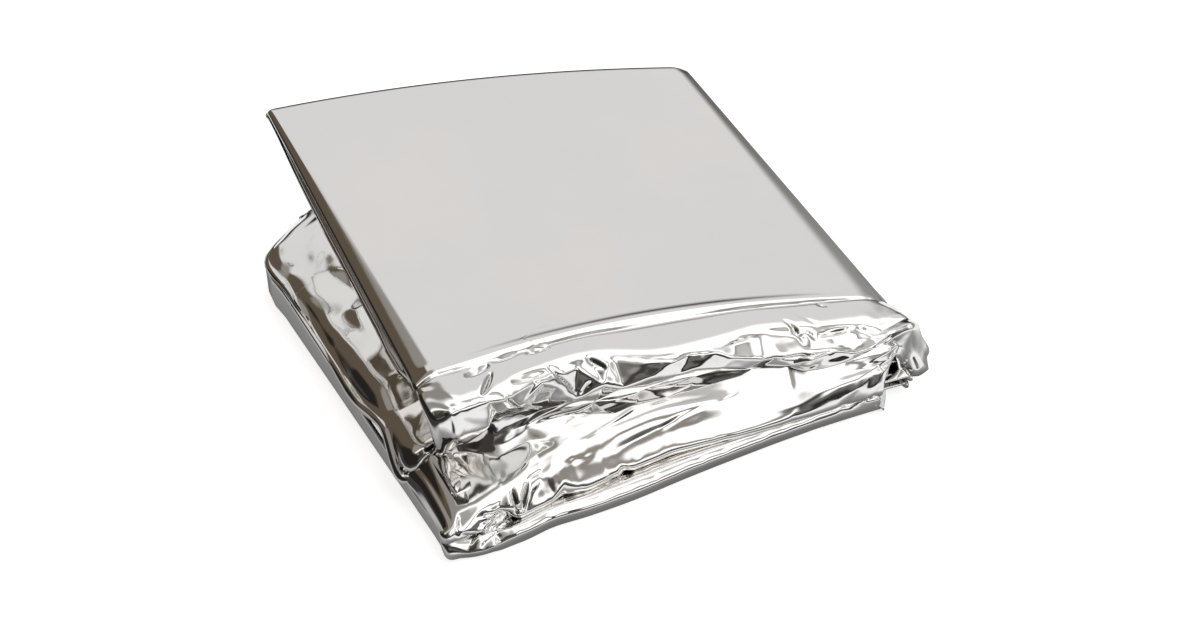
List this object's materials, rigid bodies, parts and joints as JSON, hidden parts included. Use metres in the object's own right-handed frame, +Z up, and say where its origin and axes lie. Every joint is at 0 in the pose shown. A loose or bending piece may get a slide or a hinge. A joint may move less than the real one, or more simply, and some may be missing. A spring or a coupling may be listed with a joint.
{
  "type": "folded emergency foil blanket",
  "caption": "Silvery metallised film rescue blanket, folded flat into a small packet with its top leaf standing a little open; spreads out to keep a person warm.",
  "frame": {"origin": "middle of the bounding box's base, on the surface that the packet lies on", "axes": "+Z up; +X to the right along the front edge, where the outer panel rounds the stack; +Y from the front to the back, where the leaf stands open"},
  "size_m": [0.1422, 0.1472, 0.0449],
  "materials": {
    "foil": "mirror-bright aluminium coating on thin polyester film, wrinkled"
  },
  "bodies": {
    "root": {"foil_blanket": "foil"}
  },
  "joints": []
}
